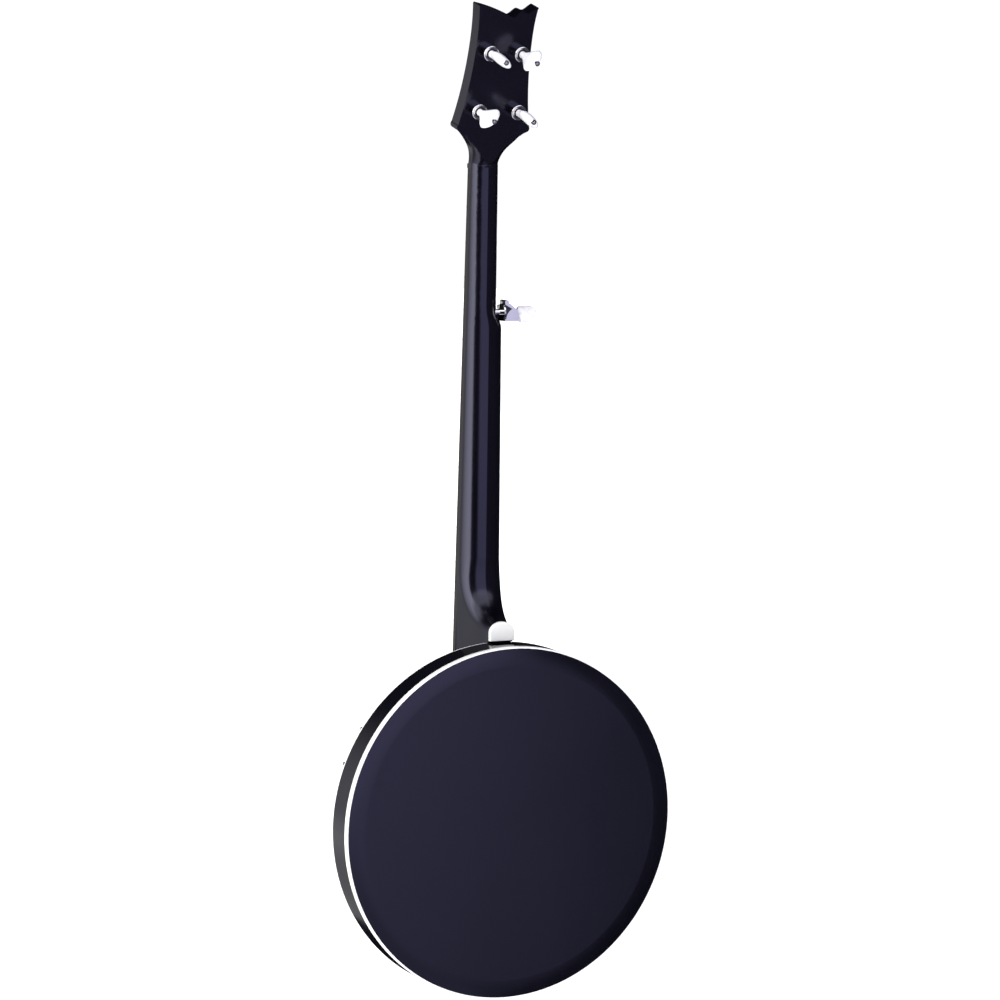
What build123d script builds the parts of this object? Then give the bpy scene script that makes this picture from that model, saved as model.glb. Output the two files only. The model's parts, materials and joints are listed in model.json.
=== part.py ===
from build123d import *
from math import cos, pi, radians, sin
import os

# Five-string resonator banjo, every piece a separate solid.
#
# The pieces are modelled on the bench, with the banjo lying on its back:
#   x  to the right, seen from the strings
#   y  from the tail end of the pot towards the peghead
#   z  from the back of the resonator (0) up towards the strings
# and are written standing upright: +Z along the neck, the strings facing -Y, the
# resonator's back facing +Y, the origin in the middle of the resonator's back face.
# All lengths are millimetres. Angles round the pot are counted from the neck.

# ------------------------------------------------------------------ driving dimensions
# resonator
RES_R = 174.5            # outer radius
RES_FRONT = 37.9         # front edge of the side wall
RES_WALL = 6.5           # thickness of the side wall
BACK_T = 7.0             # thickness of the back plate
BACK_FLAT_R = 156.0      # the back is flat inside this radius
BACK_ROLL = 1.3          # and falls away by this much at its edge
BIND_W = 1.6             # radial thickness of the white bindings
BIND_FRONT_H = 2.2       # height of the front binding
NOTCH_HALF = 13.2        # heel notch in the side wall
NOTCH_Z = 17.0
LUG_R = 160.5            # thumb screws' circle
LUG_W = 15.0
SCREW_R = 2.5

# pot
RIM_R = 139.7            # outer radius of the wooden rim, for an 11 inch head
RIM_IN = 120.5
RIM_BACK = 22.0
RIM_TOP = 78.0
HEAD_Z = 87.0            # underside of the head where the tone ring bears on it
HEAD_T = 0.4
HOOP_R = 147.2           # tension hoop
HOOP_IN = 140.9
HOOP_TOP = 89.0
FLANGE_R = 167.4
FLANGE_Z = 36.0
FLANGE_T = 3.0
HOOKS = 24
HOOK_R = 150.0           # circle of the hook rods
HOOK_ROD = 2.0           # their radius
NECK_GAP = 10.5          # angle from the neck's centre line to the first hook
ROD_Z = (64.0, 46.0)     # the two coordinator rods
ROD_R = 4.0
BOLT_R = 3.1

# neck
SCALE = 670.0            # nut to bridge
NUT_Y = 635.2            # front face of the nut, where the fingerboard ends
NUT_T = 4.9
PEG_Y = 644.8            # where the peghead's face, carried on, meets the datum
NUT_X = 1.2              # the four-string nut sits a little to the treble side
NUT_HALF = 14.4          # half the width at the nut
HEEL_HALF = 22.6         # half the width at the pot
SHOULDER = (500.0, 478.0)  # where the fifth string's shoulder starts and ends
DATUM = 94.2             # height of the peghead's face at the nut
BOARD_TOP = 96.0         # top of the fingerboard
BOARD_T = 6.3
BOARD_END = 148.5
FRETS = 22
KEEL_NUT = 15.0          # depth of the neck below the datum at the nut
KEEL_HEEL = 22.8         # and where the heel begins
HEEL_Y = 252.0           # start of the heel's sweep
CAP_Z = 29.0             # back face of the heel cap
CAP_T = 5.0
CAP_HALF = 13.0
CAP_Y = (176.3, 195.1)

# peghead
TILT = 14.56             # degrees back from the fingerboard
PEG_T = 16.2             # thickness with its veneer
VENEER = 1.6
# the flare under the peghead: station, half width, height of the upright side, half width of the flat
JOIN = [(3, 14.8, 6.5, 6.5), (8, 16.0, 8.5, 9.5), (14, 18.7, 11.5, 13.5),
        (20, 22.9, 14.6, 20.6), (25, 27.2, 15.6, 26.0), (29, 31.6, 15.9, 30.4)]
PEG_FOOT = -4.5          # station where the peghead's face starts, behind the nut
VOLUTE = -4.4            # station of the tip of the flat on the peghead's back
TUNER_AT = [(21.0, 53.1), (16.45, 111.0), (-16.45, 111.0), (-21.0, 53.1)]
TUNER_TURN = [134.0, 36.0, 125.0, 40.0]   # how far each button is turned at rest

# tuner: a planetary train, sun 12, planets 12, ring 36
MODULE = 0.3112
SUN_TEETH = 12
RING_TEETH = 36
HOUSING_R = 7.85
HOUSING_H = 9.6
BUTTON_END = 43.2        # end of the button, from the peghead's back

# strings: radius and place at the nut and at the bridge
GAUGE = [0.13, 0.15, 0.2, 0.29, 0.13]
NUT_PITCH = 7.6
BRIDGE_PITCH = 10.3
BRIDGE_H = 16.2

# values that follow
RES_IN = RES_R - RES_WALL
BRIDGE_Y = NUT_Y - SCALE
BOARD_BACK = BOARD_TOP - BOARD_T
HEAD_TOP = HEAD_Z + HEAD_T
STRING_NUT_Z = BOARD_TOP + 1.3
STRING_BRIDGE_Z = HEAD_TOP + BRIDGE_H - 0.2
PEGHEAD = Plane(origin=(NUT_X, PEG_Y, DATUM), x_dir=(1, 0, 0),
                z_dir=(0, sin(radians(TILT)), cos(radians(TILT))))
GAP_STEP = (360 - 2 * NECK_GAP) / (HOOKS - 1)
HOOK_ANGLES = [NECK_GAP + GAP_STEP * i for i in range(HOOKS)]
SCREW_ANGLES = [NECK_GAP + GAP_STEP * (i + 0.5) for i in (2, 8, 14, 20)]
PITCH_R = MODULE * RING_TEETH / 2
ORBIT = (PITCH_R + MODULE * SUN_TEETH / 2) / 2
NUT_STRINGS = [NUT_X + NUT_PITCH * k for k in (1.5, 0.5, -0.5, -1.5)]
BRIDGE_STRINGS = [BRIDGE_PITCH * k for k in (2, 1, 0, -1, -2)]


# ------------------------------------------------------------------ small helpers
def polar(radius, angle):
    """Point on a circle round the pot, the angle counted from the neck."""
    return radius * sin(radians(angle)), radius * cos(radians(angle))


def drum(radius, low, high):
    """Upright cylinder from one height to another."""
    return Pos(0, 0, (low + high) / 2) * Cylinder(radius, high - low)


def band(outer, inner, low, high):
    """Upright ring."""
    return drum(outer, low, high) - drum(inner, low, high)


def block(x0, x1, y0, y1, z0, z1):
    """Box between two corners."""
    return Pos((x0 + x1) / 2, (y0 + y1) / 2, (z0 + z1) / 2) * Box(x1 - x0, y1 - y0, z1 - z0)


def rod(start, end, radius):
    """Round bar between two points."""
    along = Vector(*end) - Vector(*start)
    plane = Plane(origin=start, z_dir=along)
    return plane * (Pos(0, 0, along.length / 2) * Cylinder(radius, along.length))


def slab(outline, low, high):
    """Flat outline on the xy plane made solid between two heights."""
    face = outline if isinstance(outline, Face) else Face(Wire(outline))
    return Pos(0, 0, low) * extrude(face, amount=high - low, dir=(0, 0, 1))


def polygon(points):
    """Flat face with straight sides."""
    return Face(Wire(Polyline(*points, close=True).edges()))


def turned(points):
    """Solid of revolution about the z axis, from points given as radius and height."""
    return revolve(Plane.XZ * polygon(points), Axis.Z, 360)


def round_pot(angle, shape):
    """Carry a shape drawn at the neck to an angle round the pot."""
    return Rot(0, 0, -angle) * shape


def gear_face(teeth, module, reach, depth):
    """Spur gear outline with straight flanks: reach outside the pitch circle, depth inside it."""
    pitch = module * teeth / 2
    step = 2 * pi / teeth
    points = []
    for i in range(teeth):
        for share, radius in ((-0.32, pitch - depth), (-0.14, pitch + reach),
                              (0.14, pitch + reach), (0.32, pitch - depth)):
            angle = step * (i + share)
            points.append((radius * cos(angle), radius * sin(angle)))
    return polygon(points)


def smooth(t):
    """Ease from 0 to 1."""
    t = min(max(t, 0.0), 1.0)
    return t * t * (3 - 2 * t)


def blend(a, b, t):
    """Straight mix of two values."""
    return a + (b - a) * t


# ------------------------------------------------------------------ lines of the neck
def treble_edge(y):
    return blend(NUT_X + NUT_HALF, HEEL_HALF, (PEG_Y - y) / (PEG_Y - CAP_Y[0]))


def bass_edge(y):
    """The four-string edge, then the shoulder of the fifth string, then the wide edge."""
    narrow = NUT_X - NUT_HALF - 0.5 * (PEG_Y - y) / (PEG_Y - SHOULDER[1])
    wide = blend(-HEEL_HALF, -HEEL_HALF + 2.6, (y - CAP_Y[0]) / (SHOULDER[1] - CAP_Y[0]))
    return blend(narrow, wide, smooth((SHOULDER[0] - y) / (SHOULDER[0] - SHOULDER[1])))


def keel(y):
    """Depth of the neck's back below the datum."""
    return blend(KEEL_NUT, KEEL_HEEL, (PEG_Y - y) / (PEG_Y - HEEL_Y))


def half_round(plane, left, right, depth, straight=4.5, full=0.52):
    """Neck section: flat in front, a short straight side, then one curve each side to the keel."""
    mid = (left + right) / 2
    low = -straight - full * (depth - straight)
    edges = [Line((left, 0), (right, 0)),
             Line((right, 0), (right, -straight)),
             Bezier((right, -straight), (right, low), (mid + full * (right - mid), -depth), (mid, -depth)),
             Bezier((mid, -depth), (mid - full * (mid - left), -depth), (left, low), (left, -straight)),
             Line((left, -straight), (left, 0))]
    return plane * Face(Wire(edges))


def shaft_section(y):
    plane = Plane(origin=(0, y, DATUM), x_dir=(1, 0, 0), z_dir=(0, -1, 0))
    return half_round(plane, bass_edge(y), treble_edge(y), keel(y))


def join_section(station, half, side, flat):
    """Section of the flare, square to the peghead's face and as deep as an ellipse whose width is
    that of the flat where it crosses the peghead's back."""
    middle = PEGHEAD * Pos(0, station, 0)
    plane = Plane(origin=middle.position, x_dir=(1, 0, 0), z_dir=-PEGHEAD.y_dir)
    depth = side + (PEG_T - side) / (1 - (flat / half) ** 2) ** 0.5
    return half_round(plane, -half, half, depth, straight=side)


def heel_section(turn):
    """Section of the heel on a plane that fans round the middle of its sweep."""
    share = turn / 90
    angle = radians(turn)
    base = CAP_Z + CAP_T
    nose = blend(DATUM - keel(HEEL_Y) - base, HEEL_Y - CAP_Y[1], smooth(share))
    shoulder = nose + blend(keel(HEEL_Y) - 4.5, 10.5, share)
    reach = 70 + 82 * sin(angle) ** 2
    full_half = (treble_edge(HEEL_Y) - bass_edge(HEEL_Y)) / 2
    mid = (treble_edge(HEEL_Y) + bass_edge(HEEL_Y)) / 2 * (1 - share)

    def half_at(distance):
        height = distance * cos(angle)
        tapered = CAP_HALF + height * (HEEL_HALF - 0.2 - CAP_HALF) / (BOARD_BACK - base)
        return blend(full_half, tapered, smooth(share * 2))

    inner, outer = half_at(shoulder), half_at(reach)
    low = shoulder - 0.52 * (shoulder - nose)
    edges = [Line((mid - outer, reach), (mid + outer, reach)),
             Line((mid + outer, reach), (mid + inner, shoulder)),
             Bezier((mid + inner, shoulder), (mid + inner, low), (mid + 0.52 * inner, nose), (mid, nose)),
             Bezier((mid, nose), (mid - 0.52 * inner, nose), (mid - inner, low), (mid - inner, shoulder)),
             Line((mid - inner, shoulder), (mid - outer, reach))]
    plane = Plane(origin=(0, HEEL_Y, base), x_dir=(1, 0, 0), z_dir=(0, -cos(angle), -sin(angle)))
    return plane * Face(Wire(edges))


def peghead_outline():
    """Outline of the peghead on its own plane: flared sides, two ears, a notched top."""
    half = [(w, s) for s, w, *_ in JOIN]
    right = Spline((NUT_HALF, PEG_FOOT), *half, (35.7, 31.3))
    ear = ThreePointArc((35.7, 31.3), (38.7, 33.9), (38.0, 37.6))
    side = Spline((38.0, 37.6), (33.9, 60), (30.5, 90), (29.2, 120), (29.7, 140), (31.0, 154.4))
    horn = ThreePointArc((31.0, 154.4), (30.4, 155.8), (28.8, 155.7))
    crest = Spline((28.8, 155.7), (21.6, 154.2), (13.4, 152.0), (4.0, 148.9), (-5.9, 145.0))
    lobe = Spline((-5.9, 145.0), (-10.4, 148.0), (-15.2, 151.2), (-21.2, 149.6), (-26.5, 152.8), (-30.6, 155.7))
    corner = ThreePointArc((-30.6, 155.7), (-31.6, 155.5), (-31.4, 154.0))
    bass_side = Spline((-31.4, 154.0), (-29.7, 140), (-29.2, 120), (-30.5, 90), (-33.9, 60), (-38.0, 37.6))
    bass_ear = ThreePointArc((-38.0, 37.6), (-38.7, 33.9), (-35.7, 31.3))
    left = Spline((-35.7, 31.3), *[(-w, s) for w, s in reversed(half)], (-NUT_HALF, PEG_FOOT))
    foot = Line((-NUT_HALF, PEG_FOOT), (NUT_HALF, PEG_FOOT))
    return Face(Wire([right, ear, side, horn, crest, lobe, corner, bass_side, bass_ear, left, foot]))


def peg_slab(low, high, start):
    """The peghead's outline as a slab between two heights over its face, from a station up."""
    board = slab(peghead_outline(), low, high)
    return PEGHEAD * (board & block(-50, 50, start, 170, low - 1, high + 1))


def board_outline(inset=0.0):
    """Plan of the fingerboard, which follows the neck's edges."""
    step = (SHOULDER[0] - SHOULDER[1]) / 6
    stations = [SHOULDER[0] - step * i for i in range(7)]
    treble = Line((treble_edge(BOARD_END) - inset, BOARD_END), (treble_edge(NUT_Y) - inset, NUT_Y))
    top = Line((treble_edge(NUT_Y) - inset, NUT_Y), (bass_edge(NUT_Y) + inset, NUT_Y))
    points = [(bass_edge(y) + inset, y) for y in stations]
    upper = Line((bass_edge(NUT_Y) + inset, NUT_Y), points[0])
    bend = Spline(*points)
    lower = Line(points[-1], (bass_edge(BOARD_END) + inset, BOARD_END))
    end = Line((bass_edge(BOARD_END) + inset, BOARD_END), (treble_edge(BOARD_END) - inset, BOARD_END))
    return Face(Wire([treble, top, upper, bend, lower, end]))


# ------------------------------------------------------------------ tuner holes and seats
def tuner_place(index):
    """Frame of a tuner: origin on the peghead's back face, +z towards the strings."""
    across, station = TUNER_AT[index]
    return PEGHEAD * Pos(across, station, -PEG_T)


FIFTH_Y = 492.4          # the fifth tuner's button axis
FIFTH_Z = 84.0
FIFTH_FACE = -17.6       # where its plate meets the neck
CASE_X = (-34.6, -19.2)
CASE_HALF = 6.4          # half the depth of its case
FIFTH_TURN = 27.6        # how far its button is turned at rest
WHEEL_TEETH = 12
WHEEL_MODULE = 0.7
WORM_R = 1.45
WHEEL_X = -24.2
WHEEL_Y = FIFTH_Y + WHEEL_MODULE * WHEEL_TEETH / 2 + 2.1
STUB_Y = 494.5
PIP = (-16.9, 472.6)     # the fifth string's own nut


def fifth_seat():
    """Room for the fifth tuner's plate and stub in the neck's side."""
    plate = rod((FIFTH_FACE - 8, STUB_Y, FIFTH_Z), (FIFTH_FACE, STUB_Y, FIFTH_Z), 8.6)
    case = block(-40, FIFTH_FACE - 1.5, 478, 512, FIFTH_Z - 7.2, FIFTH_Z + 14)
    return plate + case


def fifth_stub():
    return rod((FIFTH_FACE, STUB_Y, FIFTH_Z), (-4.5, STUB_Y, FIFTH_Z), 3.2)


# ------------------------------------------------------------------ neck pieces
TRUSS_Z = BOARD_BACK - 4.6
TRUSS_Y = (232.0, 650.0)
TRUSS_NUT_Y = 661.0


def neck():
    """Neck, heel and peghead core in one piece of wood."""
    mid_step = (SHOULDER[0] - SHOULDER[1]) / 6
    upper = loft([shaft_section(638.0), shaft_section(SHOULDER[0])])
    bend = loft([shaft_section(SHOULDER[0] - mid_step * i) for i in range(7)])
    lower = loft([shaft_section(SHOULDER[1]), shaft_section(HEEL_Y)])
    heel = loft([heel_section(15 * i) for i in range(7)])
    flare = loft([shaft_section(638.0)] + [join_section(*row) for row in JOIN])
    wood = upper + bend + lower + heel + flare + peg_slab(-PEG_T, 0.5, JOIN[-1][0] - 1.5)
    wood -= PEGHEAD * block(-80, 80, VOLUTE, 200, -PEG_T - 60, -PEG_T)
    # flat for the fingerboard and the nut, then the peghead's face under its veneer
    wood -= block(-60, 60, 60, NUT_Y + NUT_T, BOARD_BACK, 160)
    wood -= PEGHEAD * block(-80, 80, PEG_FOOT - 5, 200, -VENEER, 40)
    # the heel's pot end: round the rim, the hoop, the flange and the resonator
    wood -= drum(RIM_R + 0.05, 0, 160)
    wood -= drum(HOOP_R + 0.7, RIM_TOP - 5, 160)
    wood -= drum(RIM_R + 1.9, FLANGE_Z, FLANGE_Z + FLANGE_T + 3.1)
    wood -= drum(RES_R + 0.8, 0, FLANGE_Z + FLANGE_T + 0.1)
    # bores: truss rod and its nut, hanger bolts, tuners
    wood -= rod((0, TRUSS_Y[0], TRUSS_Z), (0, TRUSS_NUT_Y + 1, TRUSS_Z), 2.6)
    wood -= rod((0, 650.5, TRUSS_Z), (0, 690, TRUSS_Z), 4.1)
    wood -= PEGHEAD * block(-5.2 - NUT_X, 5.2 - NUT_X, 6, 27, -10, 0)
    for z in ROD_Z:
        wood -= rod((0, 100, z), (0, 172, z), BOLT_R)
    for i in range(4):
        wood -= tuner_place(i) * drum(4.9, -1, PEG_T + 4)
    wood -= fifth_seat()
    wood -= fifth_stub()
    return wood


def peghead_veneer():
    veneer = peg_slab(-VENEER, 0, PEG_FOOT)
    veneer -= block(-60, 60, 600, NUT_Y + NUT_T, 80, 120)
    veneer -= PEGHEAD * block(-5.2 - NUT_X, 5.2 - NUT_X, 6, 27, -10, 1)
    for i in range(4):
        veneer -= tuner_place(i) * drum(4.9, -1, PEG_T + 4)
    return veneer


def truss_cover():
    """Bell-shaped plate over the truss rod's nut."""
    outline = Spline((-4.5, 34), (-9.5, 20), (-12, 5.8)) + Line((-12, 5.8), (12, 5.8))
    outline += Spline((12, 5.8), (9.5, 20), (4.5, 34)) + Line((4.5, 34), (-4.5, 34))
    return PEGHEAD * slab(outline.edges(), 0, 1.6)


def truss_rod():
    bar = rod((0, TRUSS_Y[0], TRUSS_Z), (0, TRUSS_Y[1] + 1, TRUSS_Z), 2.55)
    nut = rod((0, TRUSS_Y[1] + 1, TRUSS_Z), (0, TRUSS_NUT_Y, TRUSS_Z), 3.6)
    socket = rod((0, TRUSS_NUT_Y - 5, TRUSS_Z), (0, TRUSS_NUT_Y, TRUSS_Z), 2.0)
    return bar + nut - socket


def fret_y(number):
    return NUT_Y - SCALE * (1 - 2 ** (-number / 12))


def fret_span(number):
    y = fret_y(number)
    return bass_edge(y) + 0.3, treble_edge(y) - 0.3


def fret_tang(number, width):
    y = fret_y(number)
    low, high = fret_span(number)
    return block(low + 0.8, high - 0.8, y - width / 2, y + width / 2, BOARD_TOP - 1.7, BOARD_TOP)


MARKERS = [(3, 0), (5, 0), (7, 0), (10, 0), (12, -6.5), (12, 6.5), (15, 0), (17, 0), (19, 0), (22, 0)]


def marker_disc(number, across):
    y = (fret_y(number) + fret_y(number - 1)) / 2
    x = (bass_edge(y) + treble_edge(y)) / 2 + across
    return Pos(x, y, BOARD_TOP - 0.6) * Cylinder(2.8 if number < 17 else 2.1, 1.2)


def fingerboard():
    board = slab(board_outline(), BOARD_BACK, BOARD_TOP)
    for i in range(1, FRETS + 1):
        board -= fret_tang(i, 0.6)
    for number, across in MARKERS:
        board -= marker_disc(number, across)
    board -= Pos(*PIP, BOARD_TOP) * Cylinder(1.5, 6)
    return board - fifth_seat()


def frets():
    """Nickel silver wire: a crown on the board and a tang in its slot."""
    wires = []
    for i in range(1, FRETS + 1):
        low, high = fret_span(i)
        y = fret_y(i)
        crown = Rot(0, 90, 0) * Cylinder(1.25, high - low)
        crown = Pos((low + high) / 2, y, BOARD_TOP - 0.15) * crown & block(-40, 40, y - 2, y + 2, BOARD_TOP, 99)
        wires.append(crown + fret_tang(i, 0.6))
    return wires


def nut():
    """Nut with a slot for each of the four long strings."""
    body = block(NUT_X - NUT_HALF, NUT_X + NUT_HALF, NUT_Y, NUT_Y + NUT_T, BOARD_BACK, BOARD_TOP + 1.8)
    body = fillet(body.edges().filter_by(Axis.X).sort_by(Axis.Z)[-2:], 1.2)
    for index, (x, gauge) in enumerate(zip(NUT_STRINGS, GAUGE)):
        floor = STRING_NUT_Z - gauge - 0.05
        half = gauge + 0.06
        reach = NUT_Y + 6
        drift = 5.2 * (post_point(index, 0)[0] - x) / TUNER_AT[index][1]
        side = [(NUT_Y - 1, floor), (NUT_Y + 0.8, floor), (reach, floor - 1.2), (reach, 120), (NUT_Y - 1, 120)]
        plan = [(x - half, NUT_Y - 1), (x - half, NUT_Y + 0.6), (x - half + drift, reach),
                (x + half + drift, reach), (x + half, NUT_Y + 0.6), (x + half, NUT_Y - 1)]
        body -= extrude(Plane.YZ * polygon(side), amount=40, both=True) & slab(polygon(plan), 80, 125)
    return body


def fifth_nut():
    """Pip behind the fifth fret, with the fifth string's slot."""
    pip = Pos(*PIP, 0) * drum(1.5, BOARD_TOP - 3, BOARD_TOP + 2.6)
    return pip - block(PIP[0] - 0.3, PIP[0] + 0.3, PIP[1] - 3, PIP[1] + 3, BOARD_TOP + 1.1, 120)


def heel_cap():
    """Arch-topped plate on the back of the heel."""
    low, high = CAP_Y
    spring = high - 10.5
    arch = [Line((-CAP_HALF, low), (CAP_HALF, low)), Line((CAP_HALF, low), (CAP_HALF, spring)),
            Bezier((CAP_HALF, spring), (CAP_HALF, high - 5), (6.8, high), (0, high)),
            Bezier((0, high), (-6.8, high), (-CAP_HALF, high - 5), (-CAP_HALF, spring)),
            Line((-CAP_HALF, spring), (-CAP_HALF, low))]
    cap = slab(arch, CAP_Z, CAP_Z + CAP_T)
    back_rim = cap.faces().sort_by(Axis.Z)[0].edges()
    return fillet(back_rim, 0.8)


# ------------------------------------------------------------------ pot
def rim():
    """Laminated wooden shell with a bead that the flange bears on."""
    shell = band(RIM_R, RIM_IN, RIM_BACK, RIM_TOP)
    shell += band(RIM_R + 1.8, RIM_R - 1, FLANGE_Z + FLANGE_T, FLANGE_Z + FLANGE_T + 3)
    for z in ROD_Z:
        shell -= rod((0, -160, z), (0, 160, z), BOLT_R)
    return shell


def tone_ring():
    """Cast ring with a skirt, a bearing edge and a hollow below it."""
    return turned([(RIM_IN + 0.5, RIM_TOP), (RIM_R - 0.3, RIM_TOP), (RIM_R - 0.3, HEAD_Z - 2.4),
                   (RIM_R - 1.0, HEAD_Z - 0.7), (RIM_R - 2.8, HEAD_Z), (RIM_R - 6.5, HEAD_Z),
                   (RIM_R - 7.5, HEAD_Z - 3.5), (RIM_IN + 0.5, HEAD_Z - 6)])


def drum_head():
    """Film head: a flat skin with a crimped collar."""
    return turned([(0, HEAD_Z), (RIM_R - 2.6, HEAD_Z), (RIM_R - 0.7, HEAD_Z - 0.7), (RIM_R + 0.1, HEAD_Z - 2.4),
                   (RIM_R + 0.1, RIM_TOP - 3.5), (RIM_R + 0.5, RIM_TOP - 3.5), (RIM_R + 0.5, HEAD_Z - 2.3),
                   (RIM_R - 0.4, HEAD_Z - 0.35), (RIM_R - 2.5, HEAD_TOP), (0, HEAD_TOP)])


def flesh_hoop():
    return band(RIM_R + 3.5, RIM_R + 0.5, RIM_TOP - 3.5, RIM_TOP)


def tension_hoop():
    """Notched hoop: one notch for each hook."""
    hoop = band(HOOP_R, HOOP_IN, RIM_TOP, HOOP_TOP)
    notch = block(-2.3, 2.3, HOOP_R - 3.2, HOOP_R + 2, HOOP_TOP - 3.2, HOOP_TOP + 2)
    for angle in HOOK_ANGLES:
        hoop -= round_pot(angle, notch)
    return hoop


def hook():
    """Round tension hook drawn at the neck."""
    arm = block(-2, 2, HOOP_R - 3.0, HOOK_R, HOOP_TOP - 3.2, HOOP_TOP + 0.6)
    return arm + Pos(0, HOOK_R, 0) * drum(HOOK_ROD, 24, HOOP_TOP + 0.6)


def hook_nut():
    hexagon = extrude(RegularPolygon(4.6, 6), amount=-8)
    return Pos(0, HOOK_R, FLANGE_Z) * (hexagon - drum(HOOK_ROD + 0.02, -9, 1))


def flange():
    """One-piece flange: hook holes, thumb screw holes and sound slots."""
    plate = band(FLANGE_R, RIM_R + 0.1, FLANGE_Z, FLANGE_Z + FLANGE_T)
    low, high = FLANGE_Z - 1, FLANGE_Z + FLANGE_T + 1
    for angle in HOOK_ANGLES:
        plate -= round_pot(angle, Pos(0, HOOK_R, 0) * drum(HOOK_ROD + 0.3, low, high))
    for angle in SCREW_ANGLES:
        plate -= round_pot(angle, Pos(0, LUG_R, 0) * drum(SCREW_R + 0.4, low, high))
    slot = extrude(SlotCenterToCenter(13, 7.5), amount=high - low)
    for i in range(HOOKS - 1):
        angle = NECK_GAP + GAP_STEP * (i + 0.5)
        if min(abs(angle - screw) for screw in SCREW_ANGLES) > 1:
            plate -= round_pot(angle, Pos(0, HOOK_R + 3, low) * slot)
    return plate


def coordinator_rod(z):
    """Rod across the pot, tapped at both ends."""
    tail = -RIM_IN + 0.2
    bar = rod((0, tail, z), (0, RIM_IN - 6, z), ROD_R)
    for start in (tail, RIM_IN - 18):
        bar -= rod((0, start, z), (0, start + 12, z), BOLT_R)
    return bar


def rod_fasteners():
    """Hanger bolts and nuts at the neck, hexagon bolts at the tail."""
    pieces = []
    for z in ROD_Z:
        pieces.append(rod((0, RIM_IN - 18, z), (0, 170, z), BOLT_R))
        washer = rod((0, RIM_IN - 2, z), (0, RIM_IN - 0.3, z), 8)
        hexagon = Plane(origin=(0, RIM_IN - 6, z), z_dir=(0, 1, 0)) * extrude(RegularPolygon(6.4, 6), amount=4)
        pieces.append(hexagon + washer - rod((0, 90, z), (0, 170, z), BOLT_R + 0.02))
        head = Plane(origin=(0, -RIM_R - 3.2, z), z_dir=(0, -1, 0)) * extrude(RegularPolygon(6, 6), amount=4.5)
        pieces.append(head + rod((0, -RIM_R - 3.3, z), (0, -RIM_IN + 12, z), BOLT_R))
    return pieces


def tailpiece_bracket():
    """Strap from the upper tail bolt, up outside the hoop, to the tailpiece."""
    upper = ROD_Z[0]
    foot = block(-8, 8, -RIM_R - 3.2, -RIM_R - 0.6, upper - 9, upper + 9)
    shelf = block(-8, 8, -HOOP_R - 4.0, -RIM_R - 0.6, upper + 6.5, upper + 9)
    strap = block(-8, 8, -HOOP_R - 4.0, -HOOP_R - 1.5, upper + 6.5, HOOP_TOP + 6)
    return foot + shelf + strap - rod((0, -170, upper), (0, -120, upper), BOLT_R + 0.02)


TAIL_TIP_Y = -92.0
TAIL_Z = HOOP_TOP + 6


def tailpiece():
    """Cast tailpiece: a tapered cover with a turned-down tip, a rear wall and five string pins."""
    back = -HOOP_R - 6.5
    plan = [(-24, TAIL_TIP_Y), (24, TAIL_TIP_Y), (15, back), (-15, back)]
    cover = slab(polygon(plan), TAIL_Z, TAIL_Z + 2.4)
    cover = fillet(cover.edges().filter_by(Axis.Z), 3)
    tip = block(-21, 21, TAIL_TIP_Y - 2.5, TAIL_TIP_Y, TAIL_Z - 3.5, TAIL_Z + 0.5)
    for x in BRIDGE_STRINGS:
        tip -= block(x * 0.9 - 0.5, x * 0.9 + 0.5, TAIL_TIP_Y - 4, TAIL_TIP_Y + 1, TAIL_Z - 2.2, TAIL_Z - 1.0)
    wall = block(-8, 8, back, back + 2.5, HOOP_TOP - 6, TAIL_Z + 0.5)
    pins = Part() + [Pos(x * 0.9, TAIL_TIP_Y - 16, TAIL_Z - 1.9) * Cylinder(1.1, 4) for x in BRIDGE_STRINGS]
    return cover + tip + wall + pins


def armrest():
    """Curved rest over the hoop on the player's side, on two brackets clamped to hooks."""
    plate = band(153, 124, HOOP_TOP + 9, HOOP_TOP + 11)
    wedge = [(0, 0), polar(220, 226), polar(220, 244), polar(220, 262)]
    plate &= slab(polygon(wedge), 60, 140)
    legs = []
    for i in (15, 17):
        leg = block(-4, 4, 148, 152.8, FLANGE_Z + FLANGE_T + 18, HOOP_TOP + 9.5)
        leg -= Pos(0, HOOK_R, 0) * drum(HOOK_ROD + 0.05, 0, 200)
        leg -= block(-5, 5, 140, HOOK_R - 0.2, 0, HOOP_TOP + 1)
        leg -= block(-5, 5, 140, HOOK_R + 2.1, HOOP_TOP - 6, HOOP_TOP + 1)
        legs.append(round_pot(HOOK_ANGLES[i], leg))
    for leg in legs:
        plate += leg
    return plate


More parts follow.
